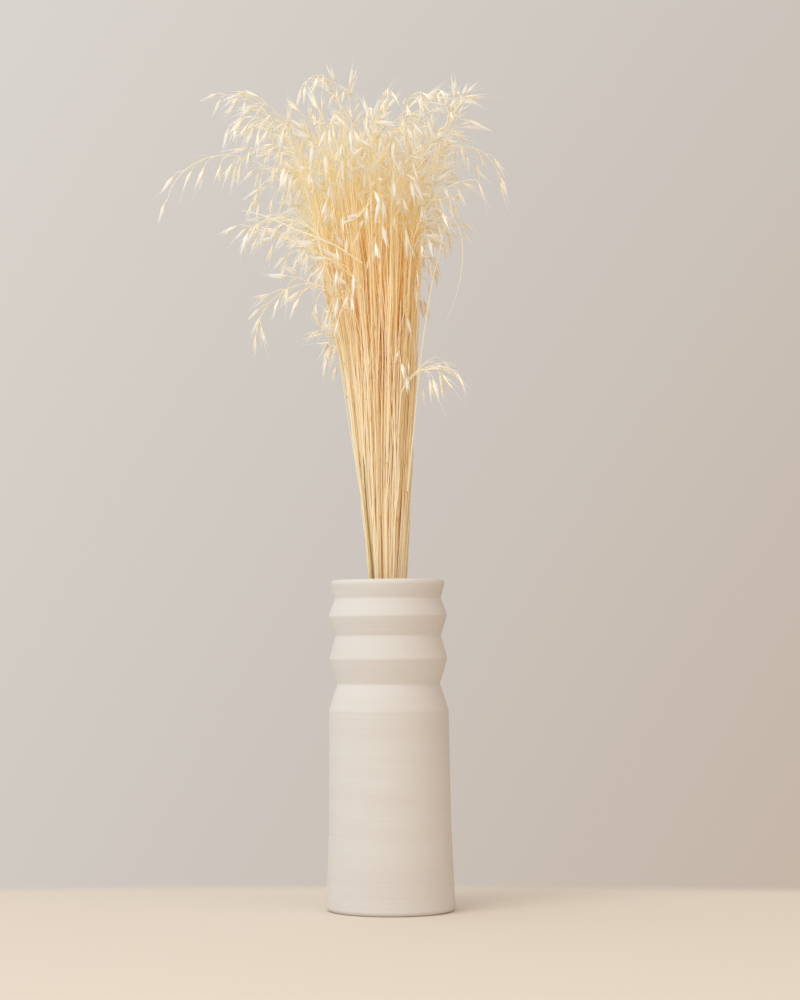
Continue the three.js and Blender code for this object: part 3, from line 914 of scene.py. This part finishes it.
# Vase
def softened(points, step, reach):
    """The outline in even steps, with corners rounded by a running mean over reach. The ends stay."""
    points = np.asarray(points, float)
    lengths = np.concatenate(([0], np.cumsum(np.linalg.norm(np.diff(points, axis=0), axis=1))))
    places = np.linspace(0, lengths[-1], int(round(lengths[-1] / step)) + 1)
    half = int(round(reach / step))
    weights = np.hanning(2 * half + 3)[1:-1]
    weights /= weights.sum()
    soft = []
    for values in points.T:
        padded = np.pad(np.interp(places, lengths, values), half, mode="reflect", reflect_type="odd")
        soft.append(np.convolve(padded, weights, mode="valid"))
    return np.stack(soft, axis=1)


def rounding(height, radius, tall, wide, first, last, count):
    """An arc round the point at height and radius, from the angle first to last."""
    angle = np.linspace(first, last, count) * DEGREE
    return np.stack((height + tall * np.sin(angle), radius + wide * np.cos(angle)), axis=1)


def outside_outline():
    """From the foot's rounding to the lip, with faces that swell a little between the ridges."""
    body = softened([(FOOT_ROUNDING, FOOT_RADIUS), *BODY, RIDGES[0]], VASE_STEP, BODY_SOFTNESS)
    faces = [RIDGES[:1]]
    t = shares(FACET_POINTS + 1)[1:, None]
    for start, end in zip(np.array(RIDGES), np.array(RIDGES[1:])):
        faces.append(mix(start, end, t) + 4 * t * (1 - t) * (0, FACET_BULGE))
    return softened(np.vstack((body[:-1], *faces)), VASE_STEP, EDGE_SOFTNESS)


def lip_outline(low_height, low_radius):
    """Half a turn over the lip, from the top of the outside to the inner edge."""
    wide = (RIDGES[-1][1] - LIP_INNER_RADIUS) / 2
    return rounding(low_height, low_radius - wide, VASE_HEIGHT - low_height, wide, 0, 180, LIP_POINTS)[1:]


def inside_outline(start):
    """From the lip's inner edge down the wall to the middle of the floor."""
    wall = [(height, radius - WALL) for height, radius in reversed([*BODY, *RIDGES[:-1]])]
    corner = (FLOOR_HEIGHT + FLOOR_CORNER, FLOOR_RADIUS + FLOOR_CORNER)
    floor = [(FLOOR_HEIGHT, FLOOR_RADIUS), (FLOOR_HEIGHT, CENTRE_HOLE)]
    return softened([start, *wall, corner, *floor], VASE_STEP_INSIDE, INSIDE_SOFTNESS)


def vase_profile():
    """Height and radius of the rings, from under the middle to the floor inside, and 1 for those outside."""
    under = [(0.0, radius) for radius in UNDERSIDE_RADII]
    middle = FOOT_RADIUS - FOOT_ROUNDING
    foot = rounding(FOOT_ROUNDING, middle, FOOT_ROUNDING, FOOT_ROUNDING, -90, 0, FOOT_POINTS)[:-1]
    outside = outside_outline()
    lip = lip_outline(*outside[-1])
    profile = np.vstack((under, foot, outside, lip, inside_outline(lip[-1])[1:]))
    is_outside = np.zeros(len(profile))
    first = len(under) + len(foot)
    is_outside[first:first + len(outside)] = 1
    return profile, is_outside


def throwing_lines(height, angle):
    """The potter's finger and rib marks, which climb as a slow spiral."""
    climb = height + angle / FULL_TURN * THROWING_CLIMB
    marks = sum(depth * np.sin(climb * pace + phase) for depth, pace, phase in THROWING_WAVES)
    return marks * (1 + THROWING_CHANGE * np.sin(3 * angle + height * 0.05))


def vase_piece(material):
    profile, is_outside = vase_profile()
    angles = turns(VASE_SIDES)
    height = np.repeat(profile[:, :1], VASE_SIDES, axis=1)
    thrown = np.convolve(is_outside, np.ones(THROWING_FADE) / THROWING_FADE, mode="same")
    radius = profile[:, 1:] + thrown[:, None] * throwing_lines(height, angles)
    x, y = radius * np.cos(angles), radius * np.sin(angles)
    points = np.stack((x - LEAN * height, y, height + LEAN * x * height / VASE_HEIGHT), axis=-1)
    builder = Builder()
    builder.add(points, True, grain_grid(np.cos(angles), profile[:, 0] / 10, 0), 1 - thrown, 0)
    piece = builder.mesh("fine_vase", [material])
    close_holes(piece)
    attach(piece, "root")
    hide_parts("vase")
    return piece


def close_holes(piece):
    shell = bmesh.new()
    shell.from_mesh(piece.data)
    rim = [edge for edge in shell.edges if edge.is_boundary]
    bmesh.ops.holes_fill(shell, edges=rim, sides=VASE_SIDES)
    bmesh.ops.recalc_face_normals(shell, faces=shell.faces)
    shell.to_mesh(piece.data)
    shell.free()


# Materials
def new_material(name):
    material = bpy.data.materials.new(name)
    material.use_nodes = True
    material.node_tree.nodes.clear()
    return material, material.node_tree


def shown(material, shader):
    add_node(material.node_tree, "OutputMaterial", Surface=shader)
    return material


def add_node(tree, kind, settings=None, **inputs):
    """A node with plain settings. An input is a value, or a socket that is linked to it."""
    node = tree.nodes.new("ShaderNode" + kind)
    for key, value in (settings or {}).items():
        setattr(node, key, value)
    for key, value in inputs.items():
        place = int(key[1:]) if key[0] == "i" and key[1:].isdigit() else key.replace("_", " ")
        socket = node.inputs[place]
        if isinstance(value, bpy.types.NodeSocket):
            tree.links.new(value, socket)
        else:
            socket.default_value = value
    return node


def point_value(tree, name, output="Fac"):
    return add_node(tree, "Attribute", {"attribute_name": name}).outputs[output]


def parts_of(tree, socket):
    return add_node(tree, "SeparateXYZ", i0=socket).outputs


def maths(tree, operation, a, b=0.0):
    return add_node(tree, "Math", {"operation": operation}, i0=a, i1=b).outputs[0]


def scaled(tree, value, factor, added):
    return maths(tree, "ADD", maths(tree, "MULTIPLY", value, factor), added)


def noise(tree, place, stretch, detail, roughness=0.5):
    """Noise that is finer the larger the stretch along an axis."""
    at = add_node(tree, "VectorMath", {"operation": "MULTIPLY"}, i0=place, i1=stretch).outputs[0]
    texture = add_node(tree, "TexNoise", Vector=at, Scale=1.0, Detail=detail, Roughness=roughness)
    return texture.outputs["Fac"]


def srgb(colour):
    """Linear colour of a display colour that is brighter than the curve's dark end."""
    return (*[((level / 255 + 0.055) / 1.055) ** 2.4 for level in colour], 1.0)


def ramp(tree, factor, stops):
    node = add_node(tree, "ValToRGB", i0=factor)
    elements = node.color_ramp.elements
    while len(elements) < len(stops):
        elements.new(0.5)
    for element, (place, colour) in zip(elements, stops):
        element.position = place
        element.color = srgb(colour)
    return node.outputs["Color"]


def blended(tree, kind, factor, a, b):
    node = add_node(tree, "Mix", {"data_type": "RGBA", "blend_type": kind}, i0=factor, i6=a, i7=b)
    return node.outputs[2]


def tinted(tree, base, strength, factor, stops):
    return blended(tree, "MULTIPLY", strength, base, ramp(tree, factor, stops))


def bump(tree, height, strength, distance):
    return add_node(tree, "Bump", Strength=strength, Distance=distance, Height=height).outputs[0]


def skin_of(tree, base, roughness, normal):
    node = add_node(tree, "BsdfPrincipled", Base_Color=base, Roughness=roughness, Normal=normal)
    return node.outputs[0]


def let_through(tree, skin, base, glow, normal):
    """Half of the light meets the skin, and half comes through in the base colour times glow."""
    colour = blended(tree, "MULTIPLY", 1.0, base, srgb(glow))
    through = add_node(tree, "BsdfTranslucent", Color=colour, Normal=normal).outputs[0]
    return add_node(tree, "MixShader", i0=0.5, i1=skin, i2=through).outputs[0]


def straw_material(name, shades):
    """Dry straw from its four shades, darkest first. Deep in the bunch, the light that comes through it has a
    painted glow, warmer and more orange.
    """
    material, tree = new_material(name)
    grain = point_value(tree, "grain", "Vector")
    tone = parts_of(tree, grain)[2]
    streak = noise(tree, grain, (5.0, 0.35, 40.0), 4.0, 0.6)
    patch = noise(tree, grain, (0.4, 0.12, 17.0), 2.0)
    shade = scaled(tree, patch, 0.7, maths(tree, "MULTIPLY", tone, 0.4))
    base = ramp(tree, shade, list(zip(SHADE_STOPS, shades)))
    base = tinted(tree, base, 0.8, streak, STRAW_STREAKS)
    base = tinted(tree, base, 1.0, point_value(tree, "mark"), STRAW_KNOTS)
    normal = bump(tree, streak, 0.3, 0.0002)
    skin = skin_of(tree, base, scaled(tree, streak, 0.25, 0.36), normal)
    # Painted glow: deep in the bunch the colour that light comes through in is painted warmer, for light
    # passed on between the straws
    painted_glow = maths(tree, "MULTIPLY", point_value(tree, "depth"), 0.95)
    base = blended(tree, "MIX", painted_glow, base, srgb(STRAW_PAINTED_GLOW))
    both = let_through(tree, skin, base, STRAW_GLOW, normal)
    return shown(material, both)


def husk_material():
    material, tree = new_material("papery_husk")
    grain = point_value(tree, "grain", "Vector")
    across, _, tone = parts_of(tree, grain)
    wave = maths(tree, "SINE", maths(tree, "MULTIPLY", across, 15.0))
    vein = scaled(tree, wave, 0.5, 0.5)
    mottle = noise(tree, grain, (2.2, 0.8, 23.0), 3.0)
    shade = scaled(tree, mottle, 0.5, maths(tree, "MULTIPLY", tone, 0.5))
    base = ramp(tree, shade, HUSK_SHADES)
    base = tinted(tree, base, 0.9, point_value(tree, "mark"), HUSK_ROOT)
    base = tinted(tree, base, 0.8, vein, HUSK_VEINS)
    # Painted glow: deep in the bunch the husk is painted warmer, for light passed on between the straws
    painted_glow = maths(tree, "MULTIPLY", point_value(tree, "depth"), 0.9)
    base = blended(tree, "MIX", painted_glow, base, srgb(HUSK_PAINTED_GLOW))
    normal = bump(tree, vein, 0.4, 0.0003)
    both = let_through(tree, skin_of(tree, base, 0.5, normal), base, HUSK_GLOW, normal)
    return shown(material, both)


def kernel_material():
    material, tree = new_material("dry_kernel")
    streak = noise(tree, point_value(tree, "grain", "Vector"), (4.0, 0.8, 31.0), 3.0)
    base = ramp(tree, streak, KERNEL_SHADES)
    # Painted glow: deep in the bunch the kernel is painted darker and warmer, for light passed on between the
    # straws
    base = blended(tree, "MULTIPLY", point_value(tree, "depth"), base, srgb(KERNEL_PAINTED_GLOW))
    skin = skin_of(tree, base, 0.5, bump(tree, streak, 0.4, 0.0003))
    return shown(material, skin)


def ceramic_material():
    material, tree = new_material("bisque_ceramic")
    place = add_node(tree, "TexCoord").outputs["Object"]
    lines = noise(tree, place, (7.0, 7.0, 1100.0), 4.0, 0.65)
    broad = noise(tree, place, (6.0, 6.0, 40.0), 3.0)
    speck = noise(tree, place, (1400.0, 1400.0, 1400.0), 3.0)
    base = ramp(tree, broad, CERAMIC_SHADES)
    base = tinted(tree, base, 0.5, lines, CERAMIC_LINES)
    base = tinted(tree, base, 0.5, speck, CERAMIC_SPECKS)
    normal = bump(tree, scaled(tree, speck, 0.35, lines), 0.12, 0.0002)
    skin = skin_of(tree, base, scaled(tree, speck, 0.2, 0.68), normal)
    return shown(material, skin)


def floor_material():
    material, tree = new_material("pale_floor")
    place = add_node(tree, "TexCoord").outputs["Object"]
    distance = add_node(tree, "VectorMath", {"operation": "LENGTH"}, i0=place).outputs["Value"]
    fade = add_node(tree, "MapRange", {"interpolation_type": "SMOOTHSTEP"},
                    Value=distance, From_Min=FLOOR_CLEAR[0], From_Max=FLOOR_CLEAR[1]).outputs[0]
    skin = add_node(tree, "BsdfPrincipled", Base_Color=srgb(FLOOR_COLOUR), Roughness=0.9).outputs[0]
    clear = add_node(tree, "BsdfTransparent").outputs[0]
    both = add_node(tree, "MixShader", i0=fade, i1=skin, i2=clear).outputs[0]
    return shown(material, both)


# Stage
def stage_floor():
    rim = [(FLOOR_REACH * math.cos(a), FLOOR_REACH * math.sin(a), 0.0) for a in turns(FLOOR_SIDES)]
    mesh = bpy.data.meshes.new("pale_floor")
    mesh.from_pydata(rim, [], [tuple(range(FLOOR_SIDES))])
    mesh.materials.append(floor_material())
    floor = add_object("pale_floor", mesh)
    floor.location = (0, FLOOR_MIDDLE, 0)
    floor.scale = (FLOOR_WIDENED, 1, 1)


def area_light(name, place, target, size, power, colour):
    data = bpy.data.lights.new(name, "AREA")
    data.shape = "DISK"
    data.size = size
    data.energy = power
    data.color = colour
    light = add_object(name, data)
    light.location = place
    toward = Vector(target) - Vector(place)
    light.rotation_euler = toward.to_track_quat("-Z", "Y").to_euler()


def studio_light():
    """Soft lamps, and a backdrop that is brighter on the side that the light comes from."""
    for name, light in LIGHTS.items():
        area_light(name, **light)
    world = bpy.data.worlds.new("studio")
    world.use_nodes = True
    tree = world.node_tree
    tree.nodes.clear()
    toward = add_node(tree, "TexCoord").outputs["Generated"]
    side = add_node(tree, "VectorMath", {"operation": "DOT_PRODUCT"}, i0=toward, i1=LIGHT_FROM)
    colour = ramp(tree, scaled(tree, side.outputs["Value"], 0.5, 0.5), BACKDROP)
    backdrop = add_node(tree, "Background", Color=colour, Strength=1.0).outputs[0]
    add_node(tree, "OutputWorld", Surface=backdrop)
    bpy.context.scene.world = world


def photo_camera():
    data = bpy.data.cameras.new("photo_camera")
    data.sensor_width = SENSOR
    data.lens = SENSOR * FOCAL_PIXELS / FRAME_PIXELS
    camera = add_object("photo_camera", data)
    camera.location = CAMERA_PLACE
    tilt = math.atan(HORIZON_BELOW_MIDDLE / FOCAL_PIXELS)
    turn = math.atan(TURNED_RIGHT / FOCAL_PIXELS)
    camera.rotation_euler = (math.pi / 2 + tilt, 0, -turn)
    bpy.context.scene.camera = camera


photo_camera()
studio_light()
stage_floor()
bpy.context.scene.view_settings.view_transform = "Standard"
for kind in ("max_bounces", "diffuse_bounces", "transmission_bounces"):
    setattr(bpy.context.scene.cycles, kind, LIGHT_BOUNCES)

vase_piece(ceramic_material())
room = Room()
stalks = grow_stalks(room)
form_draw = Stream(FINE_SEED)
forms = [spikelet_form(form_draw) for _ in range(SPIKELET_FORMS)]
stalk_materials = [
    straw_material("dry_straw", STRAW_SHADES),
    husk_material(),
    kernel_material(),
    straw_material("olive_straw", OLIVE_SHADES),
]
for stalk in stalks:
    stalk_piece(stalk, room, forms, stalk_materials)
